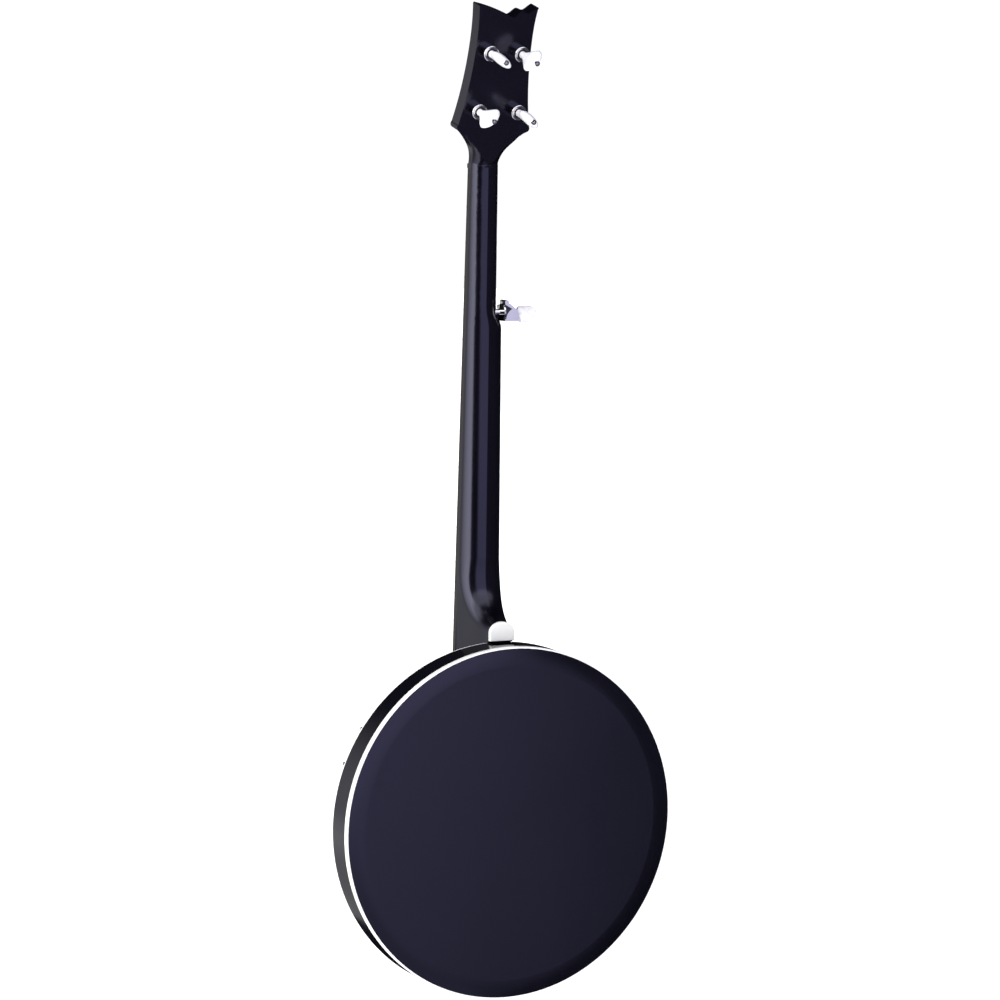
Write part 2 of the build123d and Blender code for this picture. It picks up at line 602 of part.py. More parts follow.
def bridge():
    """Three-footed maple bridge, thinner at its top, with a slot for each string."""
    top = HEAD_TOP + BRIDGE_H
    half = 42.0
    front = [(-half, HEAD_TOP), (-half + 12, HEAD_TOP), (-half + 15, HEAD_TOP + 7), (-7.5, HEAD_TOP + 7),
             (-5.5, HEAD_TOP), (5.5, HEAD_TOP), (7.5, HEAD_TOP + 7), (half - 15, HEAD_TOP + 7),
             (half - 12, HEAD_TOP), (half, HEAD_TOP), (half, HEAD_TOP + 5), (BRIDGE_PITCH * 2 + 6, top),
             (-BRIDGE_PITCH * 2 - 6, top), (-half, HEAD_TOP + 5)]
    plane = Plane(origin=(0, BRIDGE_Y + 3, 0), x_dir=(1, 0, 0), z_dir=(0, -1, 0))
    body = extrude(plane * polygon(front), amount=6, dir=(0, -1, 0))
    side = [(BRIDGE_Y - 2.6, HEAD_TOP), (BRIDGE_Y + 2.6, HEAD_TOP), (BRIDGE_Y + 1.2, top), (BRIDGE_Y - 1.2, top)]
    taper = extrude(Plane.YZ * polygon(side), amount=50, both=True)
    body &= taper
    for x, gauge in zip(BRIDGE_STRINGS, GAUGE):
        body -= block(x - gauge - 0.06, x + gauge + 0.06, BRIDGE_Y - 5, BRIDGE_Y + 5,
                      STRING_BRIDGE_Z - gauge - 0.12, 130)
    return body


# ------------------------------------------------------------------ resonator
def resonator_back():
    """Back plate, flat in the middle and gently rolled at its edge."""
    edge = RES_R - BIND_W
    line = [Line((0, 0), (BACK_FLAT_R, 0)),
            Bezier((BACK_FLAT_R, 0), (BACK_FLAT_R + 9, 0), (edge, BACK_ROLL)),
            Line((edge, BACK_ROLL), (edge, BACK_T)), Line((edge, BACK_T), (0, BACK_T)), Line((0, BACK_T), (0, 0))]
    return revolve(Plane.XZ * Face(Wire(line)), Axis.Z, 360)


def back_binding():
    """White strip let into the corner between the back and the side wall."""
    inner = RES_R - BIND_W
    return turned([(inner, BACK_ROLL), (RES_R - 0.5, BACK_ROLL + 0.15), (RES_R, BACK_ROLL + 0.7),
                   (RES_R, BACK_T), (inner, BACK_T)])


def front_binding():
    inner = RES_R - BIND_W
    ring = turned([(inner, RES_FRONT - BIND_FRONT_H), (RES_R, RES_FRONT - BIND_FRONT_H),
                   (RES_R, RES_FRONT - 0.5), (RES_R - 0.5, RES_FRONT), (inner, RES_FRONT)])
    return ring - heel_notch()


def heel_notch():
    """Round-cornered notch that lets the heel into the side wall."""
    cut = block(-NOTCH_HALF, NOTCH_HALF, 150, 190, NOTCH_Z, RES_FRONT + 5)
    return fillet(cut.edges().filter_by(Axis.Y).sort_by(Axis.Z)[:2], 4)


def resonator_sidewall():
    wall = band(RES_R, RES_IN, BACK_T, RES_FRONT)
    wall -= band(RES_R + 1, RES_R - BIND_W, RES_FRONT - BIND_FRONT_H, RES_FRONT + 1)
    return wall - heel_notch()


def resonator_lugs():
    """Four tapped blocks on the inside of the side wall."""
    lug = block(-LUG_W / 2, LUG_W / 2, 152, 172, 20, FLANGE_Z - 0.4) & drum(RES_IN, 0, 60)
    lug -= Pos(0, LUG_R, 0) * drum(SCREW_R + 0.05, 0, 60)
    return [round_pot(angle, lug) for angle in SCREW_ANGLES]


def resonator_screw(angle):
    """Thumb screw that holds the resonator to the flange."""
    seat = FLANGE_Z + FLANGE_T + 0.05
    shank = drum(SCREW_R, 24, seat + 2)
    collar = drum(5, seat, seat + 2.4)
    grip = extrude(Plane.XZ * polygon([(-4, 0), (4, 0), (8.5, 9), (-8.5, 9)]), amount=1.1, both=True)
    grip = fillet(grip.edges().filter_by(Axis.Y).sort_by(Axis.Z)[-2:], 2.5)
    return round_pot(angle, Pos(0, LUG_R, 0) * (shank + collar + Pos(0, 0, seat + 2) * grip))


# ------------------------------------------------------------------ tuners
def tuner_housing():
    """Gear case on the back of the peghead, with its barrel through to the front."""
    case = fillet(drum(HOUSING_R, -HOUSING_H, 0).edges().sort_by(Axis.Z)[0], 0.9)
    case += drum(4.9, -1, PEG_T + 3.6)
    case -= drum(3.05, -2, PEG_T + 5)
    case -= drum(6.1, -3.2, -1.6)
    case -= Pos(0, 0, -6.6) * extrude(gear_face(RING_TEETH, MODULE, 0.35, 0.27), amount=3.5)
    case -= drum(2.25, -12, -6)
    return case - drum(5.5, -12, -7.3)


def tuner_post():
    """Planet carrier and string post in one, with the three planets on it."""
    post = drum(5.7, -3.0, -1.8) + drum(3.0, -2, PEG_T + 9) + drum(2.3, PEG_T + 8, PEG_T + 17)
    post += drum(3.0, PEG_T + 15, PEG_T + 19)
    for i in range(3):
        post += Rot(0, 0, 120 * i) * Pos(ORBIT, 0, 0) * drum(1.45, -6.3, -2.5)
    return post - Pos(0, 0, PEG_T + 12) * Rot(90, 0, 0) * Cylinder(0.8, 10)


def tuner_shaft():
    """Sun gear, shaft and end screw."""
    sun = Pos(0, 0, -6.4) * extrude(gear_face(SUN_TEETH, MODULE, 0.27, 0.35), amount=3.0)
    shaft = sun + drum(2.2, -BUTTON_END + 1, -6.4) + drum(2.5, -BUTTON_END - 0.7, -BUTTON_END + 1.2)
    slot = block(-1.5, 1.5, -0.4, 0.4, -BUTTON_END - 2, -BUTTON_END + 0.9)
    return shaft - slot - Rot(0, 0, 90) * slot


def tuner_button():
    """Paddle button: a fan in outline, lens shaped across and rounded at its end, on a slim neck."""
    low = -HOUSING_H
    right = [(3.4, low + 0.7), (4.0, low - 6), (7.0, low - 13), (11.0, low - 23), (12.0, low - 27.5), (9.0, low - 32)]
    left = [(-x, z) for x, z in reversed(right)]
    outline = [Spline(*right, (0, -BUTTON_END), *left), Line(left[-1], right[0])]
    paddle = extrude(Plane.XZ * Face(Wire(outline)), amount=6, both=True)
    paddle &= Pos(0, 0, -30) * extrude(Ellipse(16, 4.7), amount=30, both=True)
    thick = [(3.3, low + 0.7), (3.6, low - 8), (4.7, low - 18), (4.6, low - 27), (3.4, low - 31.5)]
    thin = [(-y, z) for y, z in reversed(thick)]
    rounded = [Spline(*thick, (0, -BUTTON_END), *thin), Line(thin[-1], thick[0])]
    paddle &= extrude(Plane.YZ * Face(Wire(rounded)), amount=16, both=True)
    return paddle - drum(2.2, -BUTTON_END - 1, 0) - drum(2.5, -BUTTON_END - 5, -BUTTON_END + 1.2)


def bushing_nut():
    """Hexagon bushing and washer on the front of the peghead."""
    nut_body = Pos(0, 0, PEG_T + 0.8) * extrude(RegularPolygon(6.9, 6), amount=2.6)
    return nut_body + drum(7.2, PEG_T, PEG_T + 0.9) - drum(4.92, PEG_T - 1, PEG_T + 6)


# ------------------------------------------------------------------ fifth tuner
def fifth_housing():
    """Round plate and stub in the neck's side, and a gear case with a sloping roof and an open well."""
    plate = rod((FIFTH_FACE - 1.6, STUB_Y, FIFTH_Z), (FIFTH_FACE, STUB_Y, FIFTH_Z), 8.5)
    x0, x1 = CASE_X
    inner, floor_y = x1 + 0.2, FIFTH_Y - 6.4
    corner = [(x0 + 2, floor_y), (x0, floor_y + 2)]
    roof = [(x0, FIFTH_Y + 0.8), (x0 + 1.2, FIFTH_Y + 3.6), (x0 + 4.9, FIFTH_Y + 6.9), (WHEEL_X - 1, FIFTH_Y + 10.2)]
    plan = [(inner, floor_y), *corner, *roof, (inner, FIFTH_Y + 13.2)]
    case = slab(polygon(plan), FIFTH_Z - CASE_HALF, FIFTH_Z + CASE_HALF)
    case += Pos(inner - 2.0, FIFTH_Y + 12.2, 0) * drum(2.2, FIFTH_Z - CASE_HALF, FIFTH_Z + CASE_HALF)
    case -= fifth_well()
    body = plate + case + fifth_stub()
    body -= Pos(WHEEL_X, WHEEL_Y, 0) * drum(5.0, FIFTH_Z - 3.2, FIFTH_Z + 3.2)
    body -= rod((x1 - 1.5, FIFTH_Y, FIFTH_Z), (x0 + 1.6, FIFTH_Y, FIFTH_Z), 2.6)
    body -= rod((x0 - 2, FIFTH_Y, FIFTH_Z), (x0 + 5, FIFTH_Y, FIFTH_Z), 1.55)
    return body - Pos(WHEEL_X, WHEEL_Y, 0) * drum(2.55, FIFTH_Z, FIFTH_Z + 20)


def fifth_well():
    """Well in the back of the case, between its roof and the round-shouldered worm cover."""
    inner = CASE_X[1] + 1
    roof = [(inner, FIFTH_Y + 10.6), (CASE_X[0] + 7.8, FIFTH_Y + 5.7)]
    cover = ThreePointArc(roof[1], (inner - 4.2, FIFTH_Y + 1.6), (inner - 2.2, FIFTH_Y - 4.6))
    edges = [Line(*roof), cover, Line((inner - 2.2, FIFTH_Y - 4.6), (inner, FIFTH_Y - 4.6)),
             Line((inner, FIFTH_Y - 4.6), roof[0])]
    return slab(Face(Wire(edges)), FIFTH_Z - CASE_HALF - 1, FIFTH_Z - CASE_HALF + 2.6)


def fifth_post():
    """String post with its worm wheel."""
    wheel = Pos(0, 0, FIFTH_Z - 2.6) * extrude(gear_face(WHEEL_TEETH, WHEEL_MODULE, 0.5, 0.7), amount=5.2)
    post = wheel + drum(2.5, FIFTH_Z + 2, FIFTH_Z + 11) + drum(1.9, FIFTH_Z + 10, FIFTH_Z + 17)
    post += drum(2.5, FIFTH_Z + 16, FIFTH_Z + 19)
    post -= Pos(0, 0, FIFTH_Z + 14) * Rot(90, 0, 0) * Cylinder(0.6, 8)
    return Pos(WHEEL_X, WHEEL_Y, 0) * post


def fifth_worm():
    """Worm shaft, on the button's axis."""
    x0, x1 = CASE_X
    shaft = rod((x1 - 2, FIFTH_Y, FIFTH_Z), (x0 - 17, FIFTH_Y, FIFTH_Z), WORM_R)
    return shaft


def fifth_button():
    """Smaller button with an angular outline, on the worm shaft."""
    start = CASE_X[0] - 0.3
    side = [(start, 3.4), (start - 2.6, 8.4), (start - 16.4, 8.4), (start - 20.6, 1.6)]
    plan = [*side, *[(x, -y) for x, y in reversed(side)]]
    body = slab(polygon(plan), -4, 4)
    lens = Rot(0, 90, 0) * extrude(Ellipse(4.0, 9.5), amount=80, both=True)
    body = body & lens
    body -= rod((start + 5, 0, 0), (CASE_X[0] - 17, 0, 0), WORM_R)
    return Pos(0, FIFTH_Y, FIFTH_Z) * Rot(FIFTH_TURN, 0, 0) * body


# ------------------------------------------------------------------ strings
def post_point(index, height):
    """Where a long string leaves the inner side of its post."""
    across, station = TUNER_AT[index]
    inner = across - 2.75 * (1 if across > 0 else -1)
    place = PEGHEAD * Pos(inner, station, height)
    return tuple(place.position)


def long_string(index):
    gauge = GAUGE[index]
    tail = (BRIDGE_STRINGS[index] * 0.9, TAIL_TIP_Y - 0.4, TAIL_Z - 1.6)
    saddle = (BRIDGE_STRINGS[index], BRIDGE_Y, STRING_BRIDGE_Z)
    at_nut = (NUT_STRINGS[index], NUT_Y + 0.6, STRING_NUT_Z)
    end = post_point(index, 11 + 0.9 * (index % 2))
    return string_run([tail, saddle, at_nut, end], gauge)


def fifth_string():
    tail = (BRIDGE_STRINGS[4] * 0.9, TAIL_TIP_Y - 0.4, TAIL_Z - 1.6)
    saddle = (BRIDGE_STRINGS[4], BRIDGE_Y, STRING_BRIDGE_Z)
    pip = (PIP[0], PIP[1], BOARD_TOP + 1.6)
    post = (WHEEL_X + 2.2, WHEEL_Y - 0.4, FIFTH_Z + 13.2)
    return string_run([tail, saddle, pip, post], GAUGE[4])


def string_run(points, radius):
    """Straight runs joined by balls of the string's own radius."""
    run = Part()
    for start, end in zip(points, points[1:]):
        run += rod(start, end, radius)
    for point in points[1:-1]:
        run += Pos(*point) * Sphere(radius)
    return run


# ------------------------------------------------------------------ writing the parts
def write(name, shape):
    """Stand the piece upright and write it as one STEP file."""
    pieces = list(shape) if isinstance(shape, list) else [shape]
    solids = [solid for piece in pieces for solid in piece.solids()]
    upright = Compound(children=[Rot(90, 0, 0) * solid for solid in solids])
    export_step(upright, f"parts/{name}.step")


os.makedirs("parts", exist_ok=True)

write("neck", neck())
write("peghead_veneer", peghead_veneer())
write("truss_rod", truss_rod())
write("truss_rod_cover", truss_cover())
write("fingerboard", fingerboard())
write("frets", frets())
write("position_markers", [marker_disc(*marker) for marker in MARKERS])
write("nut", nut())
write("fifth_string_nut", fifth_nut())
write("heel_cap", heel_cap())

write("rim", rim())
write("tone_ring", tone_ring())
write("drum_head", drum_head())
write("flesh_hoop", flesh_hoop())
write("tension_hoop", tension_hoop())
write("flange", flange())
write("tension_hooks", [round_pot(angle, hook()) for angle in HOOK_ANGLES])
write("hook_nuts", [round_pot(angle, hook_nut()) for angle in HOOK_ANGLES])
write("coordinator_rod_upper", coordinator_rod(ROD_Z[0]))
write("coordinator_rod_lower", coordinator_rod(ROD_Z[1]))
write("rod_fasteners", rod_fasteners())
write("tailpiece_bracket", tailpiece_bracket())
write("tailpiece", tailpiece())
write("armrest", armrest())
write("bridge", bridge())

write("resonator_back", resonator_back())
write("resonator_back_binding", back_binding())
write("resonator_front_binding", front_binding())
write("resonator_sidewall", resonator_sidewall())
write("resonator_lugs", resonator_lugs())
for number, angle in enumerate(SCREW_ANGLES, 1):
    write(f"resonator_screw_{number}", resonator_screw(angle))

for number in range(1, 5):
    place = tuner_place(number - 1)
    turn = Rot(0, 0, TUNER_TURN[number - 1])
    write(f"tuner_{number}_housing", place * tuner_housing())
    write(f"tuner_{number}_post", place * tuner_post())
    write(f"tuner_{number}_shaft", place * tuner_shaft())
    write(f"tuner_{number}_button", place * turn * tuner_button())
write("tuner_bushing_nuts", [tuner_place(i) * bushing_nut() for i in range(4)])

write("fifth_tuner_housing", fifth_housing())
write("fifth_tuner_post", fifth_post())
write("fifth_tuner_worm", fifth_worm())
write("fifth_tuner_button", fifth_button())

for number in range(1, 5):
    write(f"string_{number}", long_string(number - 1))
write("string_5", fifth_string())
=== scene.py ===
# %% [markdown]
# # A five-string resonator banjo, finished in Blender
#
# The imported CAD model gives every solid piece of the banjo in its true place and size. This lesson
# dresses those pieces: it sets the camera and the studio, makes a finish for each material of the real
# instrument, and adds the small things that solid modelling leaves out, such as the coils of string
# on the tuning posts.

# %% The frame
import json
import math

import bpy
import numpy as np
from mathutils import Matrix, Vector


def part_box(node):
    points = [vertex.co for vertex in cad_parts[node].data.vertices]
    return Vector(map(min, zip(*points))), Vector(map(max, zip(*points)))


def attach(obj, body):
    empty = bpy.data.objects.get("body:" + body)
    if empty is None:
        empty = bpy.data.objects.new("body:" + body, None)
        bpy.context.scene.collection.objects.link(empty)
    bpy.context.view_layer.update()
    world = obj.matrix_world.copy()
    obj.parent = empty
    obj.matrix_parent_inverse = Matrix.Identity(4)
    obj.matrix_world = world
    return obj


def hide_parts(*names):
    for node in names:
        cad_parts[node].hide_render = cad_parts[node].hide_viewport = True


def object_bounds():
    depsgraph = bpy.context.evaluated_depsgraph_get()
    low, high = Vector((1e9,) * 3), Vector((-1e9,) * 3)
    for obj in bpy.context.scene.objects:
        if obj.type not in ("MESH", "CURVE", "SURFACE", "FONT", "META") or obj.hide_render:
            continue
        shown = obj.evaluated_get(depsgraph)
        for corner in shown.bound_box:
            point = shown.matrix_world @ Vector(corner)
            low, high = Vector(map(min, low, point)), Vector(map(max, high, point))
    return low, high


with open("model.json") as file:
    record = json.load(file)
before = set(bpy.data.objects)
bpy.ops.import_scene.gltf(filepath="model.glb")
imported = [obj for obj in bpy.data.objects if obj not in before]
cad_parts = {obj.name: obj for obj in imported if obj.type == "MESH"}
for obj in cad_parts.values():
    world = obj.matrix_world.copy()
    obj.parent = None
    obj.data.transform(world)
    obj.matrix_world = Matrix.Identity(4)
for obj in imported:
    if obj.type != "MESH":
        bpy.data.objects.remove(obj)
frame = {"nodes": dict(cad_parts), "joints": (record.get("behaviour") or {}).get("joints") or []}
nodes = frame["nodes"]
cad_low, cad_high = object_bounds()
MM = 0.001
print("pieces", len(nodes), "size mm", [round(v / MM) for v in cad_high - cad_low])

# %% [markdown]
# ## The camera
# A banjo stands out best from a long way off through a long lens, because the disc of the resonator
# then keeps its round shape. The camera is placed by the angle it looks from: azimuth turns it about
# the upright axis, elevation lifts it, and a small roll tips the frame as a hand-set tripod does.

# %% Camera
AZIMUTH, ELEVATION, ROLL = (math.radians(a) for a in (154.48, 6.37, 1.10))
AIM = Vector((-4.2, -50.0, 312.7)) * MM
DISTANCE = 3.5248
LENS = 129.54

back = Vector(
    (
        math.sin(AZIMUTH) * math.cos(ELEVATION),
        -math.cos(AZIMUTH) * math.cos(ELEVATION),
        math.sin(ELEVATION),
    )
)
level = Vector((math.cos(AZIMUTH), math.sin(AZIMUTH), 0.0))
upright = back.cross(level)
across = level * math.cos(ROLL) + upright * math.sin(ROLL)
camera_data = bpy.data.cameras.new("studio_camera")
camera_data.lens = LENS
camera_data.sensor_width = 36.0
camera_data.clip_end = 50.0
camera = bpy.data.objects.new("studio_camera", camera_data)
turn = Matrix((across, back.cross(across), back)).transposed()
camera.matrix_world = Matrix.Translation(AIM + back * DISTANCE) @ turn.to_4x4()
bpy.context.scene.collection.objects.link(camera)
bpy.context.scene.camera = camera
bpy.context.scene.view_settings.view_transform = "Standard"
print("camera at", [round(v, 3) for v in camera.matrix_world.translation])

# %% [markdown]
# ## Shader sums written as Python
# A node tree is a sum drawn as boxes and wires. Writing the sum in Python is shorter and easier to
# check, so a small class holds one socket and turns each operator into the node that does it. Every
# other node comes from one method, `node`, which sets the node's own settings before its sockets.


# %% The socket class
class Wire:
    """One output socket. + - * / and ** on wires and numbers make Math nodes."""

    def __init__(self, tree, socket):
        self.tree = tree
        self.socket = socket

    def node(self, kind, settings=None, **inputs):
        return node(self.tree, kind, settings, **inputs)

    def _math(self, operation, *values):
        made = self.node("ShaderNodeMath", {"operation": operation})
        for slot, value in zip(made.inputs, values):
            connect(self.tree, slot, value)
        return Wire(self.tree, made.outputs[0])

    def __add__(self, other):
        return self._math("ADD", self, other)

    def __radd__(self, other):
        return self._math("ADD", other, self)

    def __sub__(self, other):
        return self._math("SUBTRACT", self, other)

    def __rsub__(self, other):
        return self._math("SUBTRACT", other, self)

    def __mul__(self, other):
        return self._math("MULTIPLY", self, other)

    def __rmul__(self, other):
        return self._math("MULTIPLY", other, self)

    def __truediv__(self, other):
        return self._math("DIVIDE", self, other)

    def __rtruediv__(self, other):
        return self._math("DIVIDE", other, self)

    def __pow__(self, other):
        return self._math("POWER", self, other)

    def sine(self):
        return self._math("SINE", self)

    def size(self):
        return self._math("ABSOLUTE", self)

    def least(self, other):
        return self._math("MINIMUM", self, other)

    def most(self, other):
        return self._math("MAXIMUM", self, other)

    def angle_from(self, other):
        """The angle whose tangent is this over other."""
        return self._math("ARCTAN2", self, other)

    def step(self, start, end):
        """0 before start, 1 after end, and a smooth S between them."""
        made = self.node(
            "ShaderNodeMapRange",
            {"interpolation_type": "SMOOTHSTEP"},
            Value=self,
            From_Min=start,
            From_Max=end,
        )
        return Wire(self.tree, made.outputs["Result"])


def connect(tree, slot, value):
    """Joins a wire to a socket, or writes a plain value on it."""
    if isinstance(value, Wire):
        tree.links.new(value.socket, slot)
    elif isinstance(value, bpy.types.NodeSocket):
        tree.links.new(value, slot)
    else:
        slot.default_value = value


def node(tree, kind, settings=None, **inputs):
    """A node of this kind: its settings first, then its sockets by name, with _ for a space."""
    made = tree.nodes.new(kind)
    for name, value in (settings or {}).items():
        setattr(made, name, value)
    for name, value in inputs.items():
        connect(tree, made.inputs[name.replace("_", " ")], value)
    return made


# %% [markdown]
# ## The helpers that every finish shares
# A finish reads Object coordinates, so its grain runs through the piece at the real scale and nothing
# stretches. `noise` gives a soft random value, `colours` turns a value into a colour between stops,
# and `bump` turns a height into a tilted normal.


# %% Finish helpers
class Finish:
    """A material with one Principled shader, its Object coordinates, and the usual helpers."""

    def __init__(self, name, **plain):
        self.material = bpy.data.materials.new(name)
        self.material.use_nodes = True
        self.tree = self.material.node_tree
        self.shader = self.tree.nodes["Principled BSDF"]
        for key, value in plain.items():
            self.shader.inputs[key.replace("_", " ")].default_value = value
        where = node(self.tree, "ShaderNodeTexCoord")
        self.point = Wire(self.tree, where.outputs["Object"])
        parts = node(self.tree, "ShaderNodeSeparateXYZ", Vector=self.point)
        self.x, self.y, self.z = (Wire(self.tree, parts.outputs[k]) for k in "XYZ")

    def stretched(self, x, y, z):
        """The coordinates scaled by these three factors, so that a noise pattern is drawn out."""
        made = node(self.tree, "ShaderNodeVectorMath", {"operation": "MULTIPLY"})
        connect(self.tree, made.inputs[0], self.point)
        made.inputs[1].default_value = (x, y, z)
        return Wire(self.tree, made.outputs[0])

    def noise(self, scale, detail=2.0, rough=0.5, at=None):
        made = node(
            self.tree,
            "ShaderNodeTexNoise",
            Vector=at or self.point,
            Scale=scale,
            Detail=detail,
            Roughness=rough,
        )
        return Wire(self.tree, made.outputs["Fac"])

    def colours(self, value, *stops):
        """A colour ramp: each stop is (place, (r, g, b))."""
        made = node(self.tree, "ShaderNodeValToRGB", Fac=value)
        ramp = made.color_ramp
        while len(ramp.elements) < len(stops):
            ramp.elements.new(0.5)
        for element, (place, colour) in zip(ramp.elements, stops):
            element.position = place
            element.color = (*colour, 1.0)
        return Wire(self.tree, made.outputs["Color"])

    def mixed(self, share, a, b):
        """Colour a where share is 0 and colour b where it is 1."""
        made = node(self.tree, "ShaderNodeMix", {"data_type": "RGBA"})
        connect(self.tree, made.inputs[0], share)
        for slot, colour in ((made.inputs[6], a), (made.inputs[7], b)):
            connect(self.tree, slot, colour if isinstance(colour, Wire) else (*colour, 1.0))
        return Wire(self.tree, made.outputs[2])

    def bump(self, height, depth, strength=1.0):
        """Tilts the normal as if the surface rose by height times depth metres."""
        made = node(
            self.tree,
            "ShaderNodeBump",
            Height=height,
            Distance=depth,
            Strength=strength,
        )
        connect(self.tree, self.shader.inputs["Normal"], made.outputs["Normal"])

    def paint(self, **inputs):
        for key, value in inputs.items():
            connect(self.tree, self.shader.inputs[key.replace("_", " ")], value)


def dress(finish, *names):
    """Gives these CAD nodes the finish."""
    for name in names:
        nodes[name].data.materials.clear()
        nodes[name].data.materials.append(finish.material)
    print(finish.material.name, "on", ", ".join(names))


# %% [markdown]
# ## Satin black lacquer
# The neck and the resonator are sprayed with black lacquer, flatted and buffed to a satin gloss. The
# colour is a black with a little blue and violet in it. Up close such a film is never a mirror: it has
# a very shallow orange peel from the spray and faint cloudy patches where the buffing was uneven.


# %% Lacquer
def lacquer(name, gloss, tint, peel):
    film = Finish(name, IOR=1.5, Specular_Tint=(0.76, 0.75, 1.0, 1.0))
    haze = film.noise(9.0, 3.0)
    rubbed = film.noise(60.0, 2.0, at=film.stretched(1.0, 1.0, 0.12))
    deep, pale = [c * 0.8 for c in tint], [c * 1.25 for c in tint]
    film.paint(
        Base_Color=film.colours(haze, (0.3, deep), (0.7, pale)),
        Roughness=gloss + 0.05 * (haze - 0.5) + 0.04 * (rubbed - 0.5),
    )
    film.bump(film.noise(420.0, 1.0), peel)
    return film


neck_lacquer = lacquer("neck_lacquer", 0.19, (0.0018, 0.0016, 0.0034), 2e-6)
resonator_lacquer = lacquer("resonator_lacquer", 0.13, (0.0020, 0.0020, 0.0038), 2e-6)
dress(neck_lacquer, "neck")
dress(resonator_lacquer, "resonator_back", "resonator_sidewall")

# %% [markdown]
# ## Chrome and the other metals
# Chrome plating is an almost colourless mirror, and its polish leaves hair-fine swirls that
# only the roughness shows. Cast parts such as the flange are less flat than turned ones.


# %% Metals
def metal(name, colour, gloss, wander, lumps=0.0):
    plate = Finish(name, Metallic=1.0)
    cloud = plate.noise(45.0, 3.0)
    swirl = plate.noise(900.0, 2.0, at=plate.stretched(1.0, 1.0, 0.25))
    plate.paint(
        Base_Color=plate.colours(cloud, (0.3, [c * 0.93 for c in colour]), (0.7, colour)),
        Roughness=(gloss + wander * (cloud - 0.4) + 0.5 * wander * (swirl - 0.5)).most(0.02),
    )
    if lumps:
        plate.bump(plate.noise(160.0, 2.0), lumps)
    return plate


chrome = metal("chrome", (0.82, 0.82, 0.80), 0.07, 0.05)
cast_chrome = metal("cast_chrome", (0.78, 0.79, 0.82), 0.11, 0.06, 1.2e-5)
steel = metal("rod_steel", (0.56, 0.57, 0.59), 0.24, 0.12)
aluminium = metal("hoop_aluminium", (0.74, 0.75, 0.76), 0.34, 0.10)
fret_wire = metal("fret_wire", (0.72, 0.69, 0.62), 0.16, 0.08)
tone_bronze = metal("tone_ring_bronze", (0.72, 0.52, 0.28), 0.22, 0.12, 1.0e-5)
string_steel = metal("string_steel", (0.70, 0.70, 0.72), 0.18, 0.05)

TUNERS = range(1, 5)
dress(chrome, "tension_hooks", "hook_nuts", "tension_hoop", "tailpiece", "armrest", "resonator_lugs")
dress(chrome, "tuner_bushing_nuts", "fifth_tuner_housing", "fifth_tuner_post", "fifth_tuner_worm")
dress(chrome, *[f"tuner_{n}_{piece}" for n in TUNERS for piece in ("housing", "post", "shaft")])
dress(chrome, *[f"resonator_screw_{n}" for n in TUNERS])
dress(cast_chrome, "flange", "tailpiece_bracket")
dress(steel, "truss_rod", "coordinator_rod_upper", "coordinator_rod_lower", "rod_fasteners")
dress(aluminium, "flesh_hoop")
dress(fret_wire, "frets")
dress(tone_bronze, "tone_ring")
dress(string_steel, "string_1", "string_2", "string_3", "string_5")

# %% [markdown]
# ## The wound fourth string
# Four of the strings are plain wire. The fourth has a thin wire wound round its core, and under the
# finger it is a fine screw thread. Its turns are too many to model, so a bump draws them.

# %% Wound string
wound = metal("wound_string", (0.62, 0.60, 0.58), 0.24, 0.05)
TURNS_PER_METRE = 2600.0
ridges = (wound.z * (TURNS_PER_METRE * 2.0 * math.pi)).sine()
wound.bump(ridges * 0.5 + 0.5, 6e-5)
dress(wound, "string_4")

# %% [markdown]
# ## Plastic and pearl
# The bindings are strips of white celluloid, the nuts and the truss rod's cover are black plastic, and
# the tuner buttons are pearloid: clear plastic full of pearly flakes, each catching the light at its
# own angle.


# %% Plastics
def plastic(name, colour, gloss, mottle):
    sheet = Finish(name, IOR=1.5)
    cloud = sheet.noise(70.0, 3.0)
    pale = [min(1.0, c * (1.0 + mottle)) for c in colour]
    deep = [c * (1.0 - mottle) for c in colour]
    sheet.paint(
        Base_Color=sheet.colours(cloud, (0.35, deep), (0.65, pale)),
        Roughness=gloss + 0.08 * (cloud - 0.5),
    )
    sheet.bump(sheet.noise(600.0, 1.0), 1.5e-6)
    return sheet


white_binding = plastic("white_binding", (0.86, 0.86, 0.83), 0.28, 0.02)
cream_cap = plastic("heel_cap_cream", (0.81, 0.82, 0.76), 0.26, 0.02)
black_plastic = plastic("black_plastic", (0.012, 0.012, 0.014), 0.22, 0.15)
dress(white_binding, "resonator_back_binding", "resonator_front_binding")
dress(cream_cap, "heel_cap")
dress(black_plastic, "nut", "fifth_string_nut", "truss_rod_cover")


def pearl(name, base, shade, glow, scale, gloss):
    """Pearly flakes: each cell of a Voronoi pattern has its own tilt, so its own brightness."""
    shell = Finish(name, IOR=1.5, Subsurface_Weight=0.15, Subsurface_Scale=0.003)
    warp = shell.noise(scale * 0.6, 2.0)
    flakes = node(
        shell.tree, "ShaderNodeTexVoronoi", Vector=shell.point, Scale=scale, Randomness=1.0
    )
    tone = node(shell.tree, "ShaderNodeSeparateColor", Color=flakes.outputs["Color"])
    value = Wire(shell.tree, tone.outputs["Red"]) * 0.6 + 0.4 * warp
    shell.paint(
        Base_Color=shell.colours(value, (0.15, shade), (0.5, base), (0.85, glow)),
        Roughness=gloss + 0.06 * (warp - 0.5),
    )
    return shell


